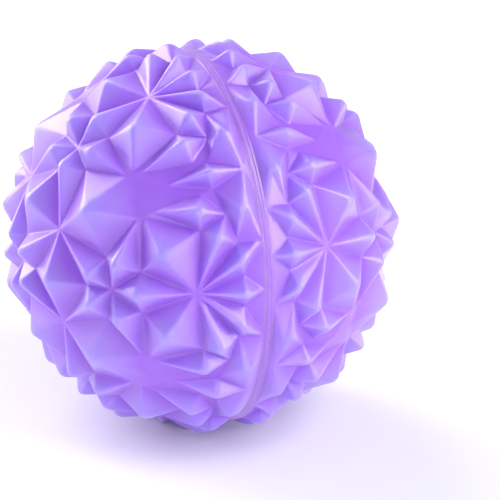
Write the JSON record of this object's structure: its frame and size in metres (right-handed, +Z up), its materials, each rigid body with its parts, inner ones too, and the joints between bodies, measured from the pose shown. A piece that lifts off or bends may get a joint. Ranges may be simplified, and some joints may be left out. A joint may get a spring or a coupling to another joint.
{
  "type": "massage ball",
  "caption": "Hollow soft massage ball of two faceted half shells joined by a thin inner ring, with an air valve and pull-out plug at one pole.",
  "frame": {"origin": "centre of the ball", "axes": "+X along the mould axis from the ball's centre to the valve, +Z up as the ball stands, +Y completes the right-handed frame"},
  "size_m": [0.0892, 0.0888, 0.0871],
  "materials": {
    "soft_shell": "glossy soft vinyl, slightly translucent",
    "seam": "glossy soft vinyl",
    "valve": "satin soft vinyl",
    "plug": "satin"
  },
  "bodies": {
    "ball": {"shell_left": "soft_shell", "shell_right": "soft_shell", "seam_ring": "seam", "valve_body": "valve"},
    "plug": {"valve_plug": "plug"}
  },
  "joints": [
    {"name": "plug_pull", "type": "slide", "parent": "ball", "child": "plug", "axis": [1, 0, 0], "range_m": [0, 0.009]}
  ]
}
